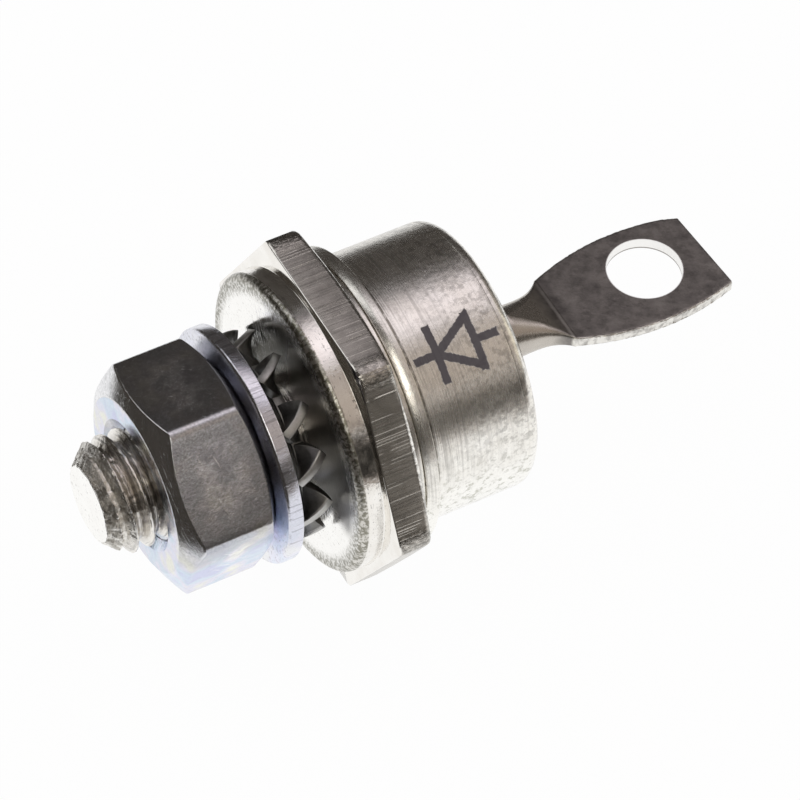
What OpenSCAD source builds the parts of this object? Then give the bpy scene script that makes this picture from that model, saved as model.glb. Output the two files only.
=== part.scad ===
// Stud-mounted rectifier diode in a welded metal can, with its nut and washers on the stud.
// The axis lies along X: the stud points to -X, the terminal to +X, and X = 0 is the seating face.
// One flat of the base hexagon faces straight down, because the part lies on it.

/* [Base and stud] */
// Outside diameter of the stud thread
stud_d = 6.2; // [5:0.05:6.3]
// Length of the stud below the seating face
stud_l = 11.2; // [10.2:0.1:16]
// Bevel at the end of the stud
stud_bevel = 0.9; // [0.2:0.05:1.4]
// Diameter of the round collar that carries the seating face
collar_d = 16.3; // [14:0.1:17]
// Thickness of the collar
collar_h = 1.28; // [1:0.02:2]
// Rounding of the collar's edge at the seating face
collar_round = 0.45; // [0.1:0.05:0.6]
// Width of the hexagon across its flats
hex_af = 17.2; // [16.6:0.1:19]
// Thickness of the hexagon
hex_h = 2.12; // [1.5:0.02:4]
// Diameter across the turned corners of the hexagon
hex_corner_d = 19.7; // [19:0.05:22]
// Depth that the hexagon's corners fall away on the can side
hex_crown = 0.27; // [0.1:0.01:0.5]
// Diameter of the raised pedestal inside the can
pedestal_d = 11.2; // [10:0.1:11.8]
// Height of the pedestal
pedestal_h = 1.5; // [0.8:0.05:2]

/* [Can] */
// Diameter of the steel weld ring that is brazed to the base
weld_ring_d = 16.4; // [15.5:0.1:16.8]
// Thickness of the weld ring
weld_ring_h = 0.45; // [0.3:0.05:0.8]
// Diameter of the can's welding flange
flange_d = 16.2; // [15.2:0.1:16.8]
// Thickness of the flange
flange_h = 0.7; // [0.5:0.05:1.2]
// Rounding of the flange's edges
flange_round = 0.22; // [0.05:0.01:0.24]
// Outside diameter of the can
can_d = 14.6; // [14.2:0.05:15]
// Length of the can with its flange
can_l = 7.0; // [6.4:0.05:9]
// Thickness of the can's side wall
can_wall = 1.3; // [0.6:0.05:1.5]
// Thickness of the can's end wall
can_end_wall = 1.6; // [1:0.05:1.8]
// Rounding of the can's end edge
can_round = 0.65; // [0.2:0.05:1]

/* [Terminal] */
// Diameter of the glass seal in the can's end
seal_d = 6.6; // [5.5:0.1:9]
// Depth of the glass below the can's end face
seal_recess = 0.12; // [0.05:0.01:0.3]
// Outside diameter of the terminal tube
tube_d = 2.9; // [2.6:0.05:3.2]
// Bore of the terminal tube
tube_bore = 2.0; // [1.6:0.05:2.2]
// Length of tube inside the can
tube_inside = 0.5; // [0.2:0.05:0.8]
// Height of the tube above the diode's axis
tube_rise = 0.3; // [0:0.05:0.5]
// Round length of the tube outside the can
neck_l = 2.02; // [1.8:0.02:5]
// Length over which the tube is pressed flat
press_l = 2.9; // [2:0.1:5]
// How late the pressed tube spreads into shoulders: 1 is a straight taper
shoulder_curve = 4; // [1:0.5:6]
// Length of the flat blade
blade_l = 9.2; // [8:0.1:12]
// Greatest width of the blade
blade_w = 6.4; // [5.8:0.1:8]
// Thickness of the blade
blade_t = 0.7; // [0.5:0.05:0.85]
// Radius of the blade's bowed sides
blade_bow_r = 13.5; // [11:0.5:30]
// Distance from the blade's end to its widest place
blade_widest = 4.1; // [3:0.1:4.5]
// Diameter of the hole in the blade
hole_d = 4.04; // [3:0.02:4.4]
// Distance from the blade's end to the hole's centre
hole_from_end = 3.65; // [3.2:0.05:4.5]
// Distance of the hole from the blade's middle line
hole_off = 0.28; // [0:0.02:0.4]

/* [Inside] */
// Thickness of each solder layer
solder_h = 0.1; // [0.05:0.01:0.15]
// Diameter of the lower molybdenum disc
lower_disc_d = 9.6; // [9.2:0.1:9.9]
// Thickness of the lower molybdenum disc
lower_disc_h = 1.0; // [0.4:0.05:1.2]
// Diameter of the silicon die
die_d = 8.2; // [7.6:0.1:8.6]
// Thickness of the silicon die
die_h = 0.3; // [0.2:0.02:0.5]
// Width of the varnish ring round the die
coating_w = 0.7; // [0.4:0.05:0.8]
// Diameter of the upper molybdenum disc
upper_disc_d = 7.0; // [6:0.1:7.4]
// Thickness of the upper molybdenum disc
upper_disc_h = 0.7; // [0.3:0.05:0.8]
// Diameter of the inner lead's head
lead_head_d = 4.6; // [3.5:0.1:5]
// Thickness of the inner lead's head
lead_head_h = 0.5; // [0.3:0.05:0.7]

/* [Fastenings] */
// Width of the nut across its flats
nut_af = 11.0; // [10:0.1:12]
// Height of the nut
nut_h = 5.4; // [4:0.05:6]
// Angle that the nut is turned about the axis, seen against the base hexagon
nut_roll = -10.8; // [-30:0.1:30]
// Diameter of the nut's flat faces inside their bevels
nut_face_d = 9.5; // [9:0.1:10.5]
// Angle of the nut's bevels
nut_bevel = 28; // [15:1:40]
// Diameter of the countersunk mouth of the nut's thread
nut_mouth_d = 7.2; // [6.8:0.1:8]
// Diameter of the flat washer
washer_d = 12.8; // [11:0.1:14]
// Thickness of the flat washer
washer_h = 0.81; // [0.6:0.01:1.2]
// Rounding of the flat washer's punched edge
washer_round = 0.2; // [0.05:0.01:0.25]
// Space between the seating face and the flat washer, filled by the toothed washer
lock_space = 2.32; // [2.24:0.02:2.5]
// Diameter of the toothed washer over its teeth
lock_d = 11.2; // [10.6:0.1:12.6]
// Diameter of the toothed washer's plain ring
lock_ring_d = 8.9; // [8.6:0.1:9.2]
// Thickness of the toothed washer's strip
lock_t = 0.6; // [0.4:0.02:0.7]
// Number of teeth
lock_teeth = 12; // [8:1:13]
// Width of a tooth
lock_tooth_w = 2.05; // [1.6:0.05:2.1]
// Angle by which each tooth is twisted
lock_twist = 55; // [30:1:60]
// Angle of the first tooth about the axis
lock_phase = 2; // [0:1:30]
// Clearance of the washers round the stud, on the radius
washer_clear = 0.15; // [0.1:0.01:0.25]

/* [Fits] */
// Running clearance between the thread of the nut and the stud, on the radius
thread_clear = 0.05; // [0.03:0.01:0.1]
// Clearance between the nut's face and the washer that it turns on
face_clear = 0.02; // [0.01:0.01:0.1]
// Clearance of soldered and fused round joints, on the radius
fuse_clear = 0.01; // [0.005:0.005:0.03]

/* [Hidden] */
$fn = 96;
// Overlap that joins shapes and carries cuts through a face
cut = 0.2;
// Inset of a pressed shape where it runs into an exact one
tuck = 0.02;
// Sections along the pressed stretch of the terminal, and steps round each rounded side
press_rings = 10;
press_steps = 10;

nickel = "#b9b6b0";
zinc = "#b4b7c2";
dark_steel = "#6d6c6c";
tarnished_copper = "#5d5855";
copper = "#b5764e";
solder_grey = "#8f9296";

base_top = collar_h + hex_h;
can_start = base_top + weld_ring_h;
can_end = can_start + can_l;
can_inner_d = can_d - 2 * can_wall;
can_ceiling = can_end - can_end_wall;

tube_start = can_ceiling - tube_inside;
press_start = can_end + neck_l;
blade_root = press_start + press_l;
blade_end = blade_root + blade_l;
tube_overlap = cut / 2;
tube_bore_l = press_start - tube_start - 2 * cut;
widest_x = blade_end - blade_widest;
hole_x = blade_end - hole_from_end;

base_solder_x = base_top + pedestal_h;
lower_disc_x = base_solder_x + solder_h;
lower_die_solder_x = lower_disc_x + lower_disc_h;
die_x = lower_die_solder_x + solder_h;
upper_die_solder_x = die_x + die_h;
upper_disc_x = upper_die_solder_x + solder_h;
lead_solder_x = upper_disc_x + upper_disc_h;
lead_x = lead_solder_x + solder_h;
lead_pin_end = tube_start + tube_bore_l - cut;

washer_bore = stud_d + 2 * washer_clear;
washer_x = -lock_space - washer_h;
nut_x = washer_x - face_clear - nut_h;
nut_bore = stud_d + 2 * thread_clear;
nut_bevel_drop = (nut_af / sqrt(3) - nut_face_d / 2) * tan(nut_bevel);
lock_tooth_l = (lock_d - lock_ring_d) / 2 + cut;

// Stands a shape that was drawn along Z on the diode's axis, starting at x
module along(x) {
    translate([x, 0, 0]) rotate([0, 90, 0]) children();
}

// Half outline of a disc of radius r with rounded outer edges, to be turned about the axis
module rim(r, h, first_round, last_round) {
    square([r - first_round, h - last_round]);
    translate([0, first_round]) square([r - last_round, h - first_round]);
    translate([0, first_round]) square([r, h - first_round - last_round]);
    if (first_round > 0) translate([r - first_round, first_round]) circle(first_round);
    if (last_round > 0) translate([r - last_round, h - last_round]) circle(last_round);
}

// Turned rim that keeps to the outside of the axis
module turned_rim(r, h, first_round = 0, last_round = 0) {
    rotate_extrude() intersection() {
        rim(r, h, first_round, last_round);
        square([r, h]);
    }
}

module disc(x, d, h) {
    along(x) cylinder(h = h, d = d);
}

module hexagon(af, h, roll = 0) {
    rotate(30 + roll) cylinder(h = h, r = af / sqrt(3), $fn = 6);
}

// Hexagon with its corners turned to a diameter and crowned towards the can
module crowned_hexagon() {
    crown_r = hex_corner_d / 2;
    intersection() {
        hexagon(hex_af, hex_h);
        rotate_extrude() polygon([
            [0, 0], [crown_r, 0], [crown_r, hex_h - hex_crown], [hex_af / 2, hex_h], [0, hex_h]
        ]);
    }
}

// One forged and turned copper piece: stud, seating collar, hexagon and pedestal
module stud_base() {
    stud_r = stud_d / 2;
    color(nickel) {
        along(-stud_l) rotate_extrude() polygon([
            [0, 0], [stud_r - stud_bevel, 0], [stud_r, stud_bevel],
            [stud_r, stud_l + cut], [0, stud_l + cut]
        ]);
        along(0) turned_rim(collar_d / 2, collar_h + cut, collar_round);
        along(collar_h) crowned_hexagon();
        disc(base_top - cut, pedestal_d, pedestal_h + cut);
    }
}

// Steel ring that lets the can be welded to the copper base
module weld_ring() {
    color(nickel) along(base_top) difference() {
        turned_rim(weld_ring_d / 2, weld_ring_h, 0, flange_round / 2);
        translate([0, 0, -cut]) cylinder(h = weld_ring_h + 2 * cut, d = can_inner_d);
    }
}

// Drawn steel cap: flange, side wall and an end wall with the hole for the glass
module can() {
    color(nickel) along(can_start) difference() {
        union() {
            turned_rim(flange_d / 2, flange_h, flange_round, flange_round);
            turned_rim(can_d / 2, can_l, 0, can_round);
        }
        translate([0, 0, -cut]) cylinder(h = can_l - can_end_wall + cut, d = can_inner_d);
        cylinder(h = can_l + cut, d = seal_d);
    }
}

// Glass fused between the can's end and the terminal tube
module glass_seal() {
    seal_h = can_end_wall - seal_recess;
    color("#4f6b5c") difference() {
        disc(can_ceiling, seal_d - 2 * fuse_clear, seal_h);
        translate([0, 0, tube_rise]) disc(can_ceiling - cut, tube_d + 2 * fuse_clear, seal_h + 2 * cut);
    }
}

// Round plate with a fully rounded rim, lying across Z
module round_edged_plate(r) {
    edge = blade_t / 2 - tuck;
    translate([0, 0, -blade_t / 2]) turned_rim(r, blade_t, edge, edge);
}

// Flat end of the terminal: two bowed sides, cut square at the end
module blade_plate() {
    bow_y = blade_bow_r - blade_w / 2;
    intersection() {
        translate([widest_x, bow_y, 0]) round_edged_plate(blade_bow_r);
        translate([widest_x, -bow_y, 0]) round_edged_plate(blade_bow_r);
        translate([blade_root, -blade_w, -blade_t]) cube([blade_l, 2 * blade_w, 2 * blade_t]);
    }
}

// Half width of the bowed blade at a place along the axis
function bowed_half_w(x) =
    blade_w / 2 - blade_bow_r + sqrt(pow(blade_bow_r, 2) - pow(x - widest_x, 2));

// Section of the pressed tube at x: flat above and below, half round at both sides
function flat_oval(x, half_w, half_t) = [
    for (side = [1, -1]) for (k = [0 : press_steps])
        let (a = 90 * (1 - side) - 90 + 180 * k / press_steps)
        [x, side * (half_w - half_t) + half_t * cos(a), half_t * sin(a)]
];

// Section at share u of the pressed stretch: it thins evenly and spreads late
function pressed_section(x, u) = let (
    half_t = (1 - u) * tube_d / 2 + u * blade_t / 2 - tuck,
    spread = bowed_half_w(blade_root) - tube_d / 2,
    half_w = max(tube_d / 2 + spread * pow(u, shoulder_curve), half_t + tuck) - tuck / 2
) flat_oval(x, half_w, half_t);

// Solid through a row of sections that all have the same number of points
module loft(sections) {
    m = len(sections[0]);
    n = len(sections);
    polyhedron(
        points = [for (section = sections) each section],
        faces = concat(
            [[for (j = [0 : m - 1]) j]],
            [[for (j = [m - 1 : -1 : 0]) (n - 1) * m + j]],
            [for (i = [0 : n - 2]) for (j = [0 : m - 1])
                [i * m + j, (i + 1) * m + j, (i + 1) * m + (j + 1) % m]],
            [for (i = [0 : n - 2]) for (j = [0 : m - 1])
                [i * m + j, (i + 1) * m + (j + 1) % m, i * m + (j + 1) % m]]
        )
    );
}

// Tube that is pressed flat past its neck and pierced for a bolt or a wire
module terminal() {
    color(tarnished_copper) translate([0, 0, tube_rise]) difference() {
        union() {
            disc(tube_start, tube_d, press_start - tube_start);
            loft(concat(
                [pressed_section(press_start - tube_overlap, 0)],
                [for (k = [0 : press_rings]) let (u = k / press_rings)
                    pressed_section(press_start + u * press_l, u)],
                [pressed_section(blade_root + tube_overlap, 1)]
            ));
            blade_plate();
        }
        disc(tube_start - cut, tube_bore, tube_bore_l + cut);
        translate([hole_x, hole_off, -blade_t]) cylinder(h = 2 * blade_t, d = hole_d);
    }
}

module base_solder() {
    color(solder_grey) disc(base_solder_x, lower_disc_d, solder_h);
}

module lower_disc() {
    color("#9a9ca0") disc(lower_disc_x, lower_disc_d, lower_disc_h);
}

module lower_die_solder() {
    color(solder_grey) disc(lower_die_solder_x, die_d, solder_h);
}

// Rectifier chip, with a bevelled edge that spreads the field at the junction
module silicon_die() {
    color("#3f4450") along(die_x) cylinder(h = die_h, d1 = die_d, d2 = upper_disc_d);
}

// Insulating varnish round the chip's edge
module die_coating() {
    coating_h = 2 * solder_h + die_h;
    color("#8c3b2e") difference() {
        disc(lower_die_solder_x, die_d + 2 * coating_w, coating_h);
        disc(lower_die_solder_x - cut, die_d + 2 * fuse_clear, coating_h + 2 * cut);
    }
}

module upper_die_solder() {
    color(solder_grey) disc(upper_die_solder_x, upper_disc_d, solder_h);
}

module upper_disc() {
    color("#9a9ca0") disc(upper_disc_x, upper_disc_d, upper_disc_h);
}

module lead_solder() {
    color(solder_grey) translate([0, 0, tube_rise]) disc(lead_solder_x, lead_head_d, solder_h);
}

// Nail-headed copper lead that runs up into the terminal tube
module inner_lead() {
    color(copper) translate([0, 0, tube_rise]) {
        disc(lead_x, lead_head_d, lead_head_h);
        disc(lead_x, tube_bore - 2 * fuse_clear, lead_pin_end - lead_x);
    }
}

// Nut bevelled on both faces, with countersunk thread mouths
module hex_nut() {
    corner_r = nut_af / sqrt(3) + cut;
    bevel_drop = nut_bevel_drop + cut * tan(nut_bevel);
    face_r = nut_face_d / 2;
    mouth_h = (nut_mouth_d - nut_bore) / 2;
    color(zinc) along(nut_x) difference() {
        intersection() {
            hexagon(nut_af, nut_h, nut_roll);
            rotate_extrude() polygon([
                [0, 0], [face_r, 0], [corner_r, bevel_drop], [corner_r, nut_h - bevel_drop],
                [face_r, nut_h], [0, nut_h]
            ]);
        }
        translate([0, 0, -cut]) cylinder(h = nut_h + 2 * cut, d = nut_bore);
        cylinder(h = mouth_h, d1 = nut_mouth_d, d2 = nut_bore);
        translate([0, 0, nut_h - mouth_h]) cylinder(h = mouth_h, d1 = nut_bore, d2 = nut_mouth_d);
    }
}

module flat_washer() {
    color(zinc) along(washer_x) difference() {
        turned_rim(washer_d / 2, washer_h, washer_round);
        translate([0, 0, -cut]) cylinder(h = washer_h + 2 * cut, d = washer_bore);
    }
}

// Tooth that leaves the ring flat and twists about its own radius
module twisted_tooth() {
    translate([lock_ring_d / 2 - cut, 0, 0]) rotate([0, 90, 0])
        linear_extrude(height = lock_tooth_l, twist = lock_twist, slices = 8, $fn = 8)
            square([lock_t, lock_tooth_w], center = true);
}

// Outside-toothed lock washer: a flat ring whose teeth bite the seat and the flat washer
module tooth_washer() {
    color(dark_steel) along(-lock_space / 2) {
        difference() {
            translate([0, 0, -lock_t / 2]) cylinder(h = lock_t, d = lock_ring_d);
            translate([0, 0, -lock_t]) cylinder(h = 2 * lock_t, d = washer_bore);
        }
        for (k = [0 : lock_teeth - 1]) rotate(lock_phase + k * 360 / lock_teeth) twisted_tooth();
    }
}

stud_base();
weld_ring();
can();
glass_seal();
terminal();
base_solder();
lower_disc();
lower_die_solder();
silicon_die();
die_coating();
upper_die_solder();
upper_disc();
lead_solder();
inner_lead();
hex_nut();
flat_washer();
tooth_washer();
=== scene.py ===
# %% [markdown]
# # A stud diode in Blender
# This lesson dresses the solids of a stud-mounted rectifier diode: a threaded stud with its nut and
# washers, a hexagon base, a welded can and a pierced terminal. The solids give every size and every
# joint, so the first step loads them and keeps them, so that the box of each can be read.

# %% Load the solids
import math

import bmesh
import bpy
import numpy as np
from mathutils import Matrix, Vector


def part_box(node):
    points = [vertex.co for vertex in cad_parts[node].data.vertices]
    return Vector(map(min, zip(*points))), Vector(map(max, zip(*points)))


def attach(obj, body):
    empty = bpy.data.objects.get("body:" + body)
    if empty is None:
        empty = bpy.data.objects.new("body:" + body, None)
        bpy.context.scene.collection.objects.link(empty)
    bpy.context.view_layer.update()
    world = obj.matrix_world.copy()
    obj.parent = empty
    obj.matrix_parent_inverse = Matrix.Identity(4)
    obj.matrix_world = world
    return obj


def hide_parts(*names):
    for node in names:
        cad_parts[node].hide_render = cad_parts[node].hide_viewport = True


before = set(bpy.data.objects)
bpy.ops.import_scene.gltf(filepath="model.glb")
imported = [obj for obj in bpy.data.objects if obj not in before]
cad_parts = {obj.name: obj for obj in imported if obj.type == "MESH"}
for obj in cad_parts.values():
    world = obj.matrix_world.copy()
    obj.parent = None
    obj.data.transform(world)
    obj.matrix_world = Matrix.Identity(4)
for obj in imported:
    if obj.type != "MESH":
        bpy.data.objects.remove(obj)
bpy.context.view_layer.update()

MM = 0.001

# %% [markdown]
# ## The camera
# The photograph looks down on the diode from the stud's side through a long lens. A camera could be
# turned by eye, but azimuth, elevation and roll were fitted to the edges of the hexagons, so three
# rotations set it up. It aims a little to the right of the base, as the photograph does.

# %% Camera
AZIMUTH, ELEVATION, ROLL = (math.radians(d) for d in (-30.63, 51.35, 2.91))
FOCAL_PIXELS, PICTURE_PIXELS = 4946.8, 800
SENSOR = 36.0
CLIP_NEAR, CLIP_FAR = 0.01, 20
CAMERA_REACH = 253.0 * MM
AIM_POINT = (4.0 * MM, 0, 0)
AIM_PIXEL_RIGHT, AIM_PIXEL_DOWN = 45.1, 2.5


def turn(angle, axis):
    return Matrix.Rotation(angle, 4, axis)


def photo_camera():
    """Camera that looks past the aim point as in the photograph."""
    data = bpy.data.cameras.new("photo_camera")
    data.sensor_width = SENSOR
    data.lens = FOCAL_PIXELS * SENSOR / PICTURE_PIXELS
    data.clip_start = CLIP_NEAR
    data.clip_end = CLIP_FAR
    camera = bpy.data.objects.new("photo_camera", data)
    stand = turn(AZIMUTH, "Z") @ turn(math.pi / 2 - ELEVATION, "X") @ turn(ROLL, "Z")
    yaw = math.atan2(AIM_PIXEL_RIGHT, FOCAL_PIXELS)
    pitch = math.atan2(AIM_PIXEL_DOWN, FOCAL_PIXELS)
    stand = stand @ Matrix.Translation((0, 0, CAMERA_REACH)) @ turn(-yaw, "Y") @ turn(-pitch, "X")
    camera.matrix_world = Matrix.Translation(AIM_POINT) @ stand
    bpy.context.scene.collection.objects.link(camera)
    bpy.context.scene.camera = camera
    return camera


print("lens in mm:", round(photo_camera().data.lens, 1))

# %% [markdown]
# ## Skins of turned and milled metal
# Nearly every piece was turned in a lathe or cut to a hexagon, so its skin is a set of rings round
# the X axis. A Screw modifier could turn the round ones. Rings joined with quads do hexagons as
# well, and they give every edge its own small rounding.

# %% Skin helpers
SHARP_ANGLE = math.radians(32)
WELD = 1e-7
TURNED_STEPS = 192


def full_turn(steps):
    """Even angles once round."""
    return np.linspace(0, 2 * math.pi, steps, endpoint=False)


def polar(x, r, theta):
    """Points at x along the axis and radius r, at angles theta from +Y towards +Z."""
    x, y, z = np.broadcast_arrays(x, r * np.cos(theta), r * np.sin(theta))
    return np.stack([x, y, z], axis=-1)


def soften(mesh, angle=SHARP_ANGLE):
    """Smooth shading that keeps edges above an angle sharp."""
    mesh.shade_smooth()
    mesh.set_sharp_from_angle(angle=angle)


def tidy_mesh(mesh, fill=False):
    """Welds doubles, fills open ends if told to, turns faces outwards and keeps only real edges sharp."""
    work = bmesh.new()
    work.from_mesh(mesh)
    bmesh.ops.remove_doubles(work, verts=work.verts, dist=WELD)
    bmesh.ops.dissolve_degenerate(work, edges=work.edges, dist=WELD)
    if fill:
        bmesh.ops.holes_fill(work, edges=[e for e in work.edges if e.is_boundary], sides=0)
    bmesh.ops.recalc_face_normals(work, faces=work.faces)
    work.to_mesh(mesh)
    work.free()
    soften(mesh)


def new_object(name, mesh):
    obj = bpy.data.objects.new(name, mesh)
    bpy.context.scene.collection.objects.link(obj)
    return obj


def skin(name, rows, closed):
    """Object through rings of points in mm. A closed skin joins its last ring to the first."""
    rows = np.asarray(rows, float)
    count, around = rows.shape[:2]
    index = np.arange(count * around).reshape(count, around)
    after = np.roll(index, -1, axis=1)
    faces = []
    for k in range(count if closed else count - 1):
        n = (k + 1) % count
        faces += np.stack([index[k], after[k], after[n], index[n]], axis=-1).tolist()
    mesh = bpy.data.meshes.new(name)
    mesh.from_pydata((rows.reshape(-1, 3) * MM).tolist(), [], faces)
    tidy_mesh(mesh)
    return new_object(name, mesh)


def arc(x, r, radius, first, last, steps):
    """Corner of an outline: points round (x, r), angles from +X towards outwards."""
    angles = np.radians(np.linspace(first, last, steps))
    return [(x + radius * math.cos(a), r + radius * math.sin(a)) for a in angles]


def turned(name, outline):
    """Ring turned from a closed outline of (x, r) points in mm."""
    theta = full_turn(TURNED_STEPS)
    return skin(name, [polar(x, r, theta) for x, r in outline], closed=True)


def place(obj, body, node):
    """Hands a finished piece to the frame and prints its size."""
    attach(obj, body)
    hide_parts(node)
    points = np.array([v.co for v in obj.data.vertices]) / MM
    low, high = points.min(axis=0).round(2), points.max(axis=0).round(2)
    print(obj.name, len(obj.data.polygons), "faces, mm", low, high)
    return obj


print("points of a skin weld within", WELD / MM, "mm")

# %% [markdown]
# ## Hexagons with rounded corners
# A hexagon's ring has a radius that depends on the angle, and near a corner a small circle takes
# the place of the two sides. A bevel could round the corners too, but crowded columns keep the
# rounding smooth and the flats flat.

# %% Hexagon helper
FLAT_STEPS, CORNER_STEPS = 26, 9
SIXTH = math.radians(60)


def hexagon_ring(across, rounding, first_corner):
    """Angles of the columns round a rounded hexagon, and the radius at each."""
    centre = (across / 2 - rounding) / math.cos(SIXTH / 2)
    half = math.atan2(rounding / 2, centre + rounding * math.cos(SIXTH / 2))
    near = np.linspace(-half, half, CORNER_STEPS)
    flat = np.linspace(half, SIXTH - half, FLAT_STEPS)[1:-1]
    circle = centre * np.cos(near) + np.sqrt(rounding ** 2 - (centre * np.sin(near)) ** 2)
    side = across / 2 / np.cos(SIXTH / 2 - flat)
    columns = math.radians(first_corner) + np.concatenate([near, flat])
    theta = np.concatenate([columns + k * SIXTH for k in range(6)])
    return theta, np.tile(np.concatenate([circle, side]), 6)


print("columns round a hexagon:", 6 * (CORNER_STEPS + FLAT_STEPS - 2))

# %% [markdown]
# ## The base: collar, hexagon and pedestal
# The copper base was forged and turned in one piece: a seating face with a rounded edge, a round
# collar, and a hexagon whose soft rear edge falls away at the corners. A cylinder and a prism could
# be joined for it, but one skin keeps the roundings.

# %% Base
HEX_ACROSS, HEX_CORNER, HEX_ROUND = 17.2, 19.7 / 2, 0.25
COLLAR_R, COLLAR_H, COLLAR_ROUND = 8.15, 1.28, 0.45
HEX_TOP, HEX_CROWN, HEX_REAR_ROUND = 3.4, 0.27, 0.36
HEX_FRONT_EDGE = ((0, 0.06), (0.02, 0.02), (0.06, 0))
HEX_REAR_R = 7.9
SEAT_RINGS = (0, 2.5, 4.0, 6.0)
PEDESTAL_R, PEDESTAL_TOP = 5.6, 4.9
ROOT_FILLET = 0.07


def base_body():
    theta, hexagon = hexagon_ring(HEX_ACROSS, HEX_ROUND, 0)
    hexagon = np.minimum(hexagon, HEX_CORNER)
    fall = HEX_CROWN * (hexagon - HEX_ACROSS / 2) / (HEX_CORNER - HEX_ACROSS / 2)
    rear = HEX_TOP - fall - HEX_REAR_ROUND
    outline = [(0, r) for r in SEAT_RINGS]
    outline += arc(COLLAR_ROUND, COLLAR_R - COLLAR_ROUND, COLLAR_ROUND, 180, 90, 9)
    outline += arc(COLLAR_H - ROOT_FILLET, COLLAR_R + ROOT_FILLET, ROOT_FILLET, 270, 360, 4)
    outline += [(COLLAR_H + step, hexagon - inset) for step, inset in HEX_FRONT_EDGE]
    outline += arc(rear, hexagon - HEX_REAR_ROUND, HEX_REAR_ROUND, 90, 0, 7)
    outline += [(HEX_TOP, HEX_REAR_R), (HEX_TOP, PEDESTAL_R), (PEDESTAL_TOP, PEDESTAL_R), (PEDESTAL_TOP, 0)]
    return skin("base_body", [polar(x, r, theta) for x, r in outline], closed=False)


base = place(base_body(), "diode", "stud_base")

# %% [markdown]
# ## The can and its weld ring
# The can was drawn from sheet steel and skimmed in a lathe, which left fine grooves beside the
# flange. The flange's rim leans towards the stud, and the ring it is welded to is a little smaller,
# so a dark gap shows between them. A bump map could draw the grooves, but real ones catch the light
# better, so the outline itself waves there.

# %% Can
CAN_R, CAN_BORE_R, SEAL_R = 7.3, 6.0, 3.3
CAN_START, CAN_CEILING, CAN_END = 3.85, 9.25, 10.85
FLANGE_R, FLANGE_TOP, FLANGE_FILLET = 8.1, 4.55, 0.12
FLANGE_CROWN, CROWN_SHIFT = 1.6, 0.07
FLANGE_FRONT, FLANGE_EDGE = (0.3, 0.2), ((-0.06, 0.02), (0, 0.1))
CAN_ROUND, MOUTH_ROUND = 0.65, 0.1
CAN_SHOULDER = CAN_END - CAN_ROUND
SHOULDER_LINE = ((-0.09, 0.02), (-0.05, 0.02), (-0.03, 0))
GROOVE_START, GROOVE_END, GROOVE_STEP, GROOVE_DEPTH = 4.72, 6.4, 0.0155, 0.008
RING_R, RING_EDGE, RING_WELD = 7.85, 0.05, 0.11


def grooved_wall():
    """Wall of the can beside the flange: grooves of uneven spacing that die out."""
    points = []
    for x in np.arange(GROOVE_START, GROOVE_END, GROOVE_STEP):
        fade = 1 - (x - GROOVE_START) / (GROOVE_END - GROOVE_START)
        wave = math.sin(50 * x + 1.2 * math.sin(5.1 * x)) * (1 + 0.4 * math.sin(9 * x))
        points.append((x, CAN_R - GROOVE_DEPTH * fade * (0.8 + 0.5 * wave)))
    return points


def can_outline():
    points = [(CAN_START, FLANGE_R - inset) for inset in FLANGE_FRONT]
    points += arc(FLANGE_TOP + CROWN_SHIFT, FLANGE_R - FLANGE_CROWN, FLANGE_CROWN, 118, 97, 12)
    points += [(FLANGE_TOP + step, FLANGE_R - inset) for step, inset in FLANGE_EDGE]
    points += arc(FLANGE_TOP + FLANGE_FILLET, CAN_R + FLANGE_FILLET, FLANGE_FILLET, 180, 270, 5)
    points += grooved_wall()
    points += [(x, CAN_R) for x in np.linspace(GROOVE_END, CAN_SHOULDER - 0.12, 12)]
    points += [(CAN_SHOULDER + step, CAN_R - depth) for step, depth in SHOULDER_LINE]
    points += arc(CAN_SHOULDER, CAN_R - CAN_ROUND, CAN_ROUND, 90, 0, 12)
    points += arc(CAN_END - MOUTH_ROUND, SEAL_R + MOUTH_ROUND, MOUTH_ROUND, 0, -90, 5)
    points += [(CAN_CEILING, SEAL_R), (CAN_CEILING, CAN_BORE_R), (CAN_START, CAN_BORE_R)]
    return points


can = place(turned("can_shell", can_outline()), "diode", "can")

ring_outline = [(HEX_TOP, CAN_BORE_R)]
ring_outline += arc(HEX_TOP + RING_EDGE, RING_R - RING_EDGE, RING_EDGE, 180, 90, 3)
ring_outline += arc(CAN_START - RING_WELD, RING_R - RING_WELD, RING_WELD, 90, 0, 5)
ring_outline += [(CAN_START, CAN_BORE_R)]
weld_ring = place(turned("weld_ring_band", ring_outline), "diode", "weld_ring")

# %% [markdown]
# ## The glass seal
# Molten glass creeps up the metal on both sides, so its outer face is a shallow dish. A turned ring
# would fit a tube in the middle, but this tube stands a little off the axis, so each column runs
# straight from the tube to the can's hole.

# %% Glass seal
TUBE_R, TUBE_RISE = 1.45, 0.3
SEAL_FACE = CAN_END - 0.12
SEAL_GAP, MENISCUS = 0.01, 0.1
SEAL_STEPS, DISH_ROWS = 128, 15


def glass_seal():
    theta = full_turn(SEAL_STEPS)
    inner = polar(0, TUBE_R + SEAL_GAP, theta) + np.array([0, 0, TUBE_RISE])
    outer = polar(0, SEAL_R - SEAL_GAP, theta)
    shares = np.linspace(0, 1, DISH_ROWS)
    dish = SEAL_FACE - MENISCUS * (1 - np.abs(2 * shares - 1) ** 3)
    rows = []
    for share, x in [*zip(shares, dish), (1, CAN_CEILING), (0, CAN_CEILING)]:
        ring = inner * (1 - share) + outer * share
        ring[:, 0] = x
        rows.append(ring)
    return skin("seal_glass", rows, closed=True)


seal = place(glass_seal(), "diode", "glass_seal")

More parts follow.
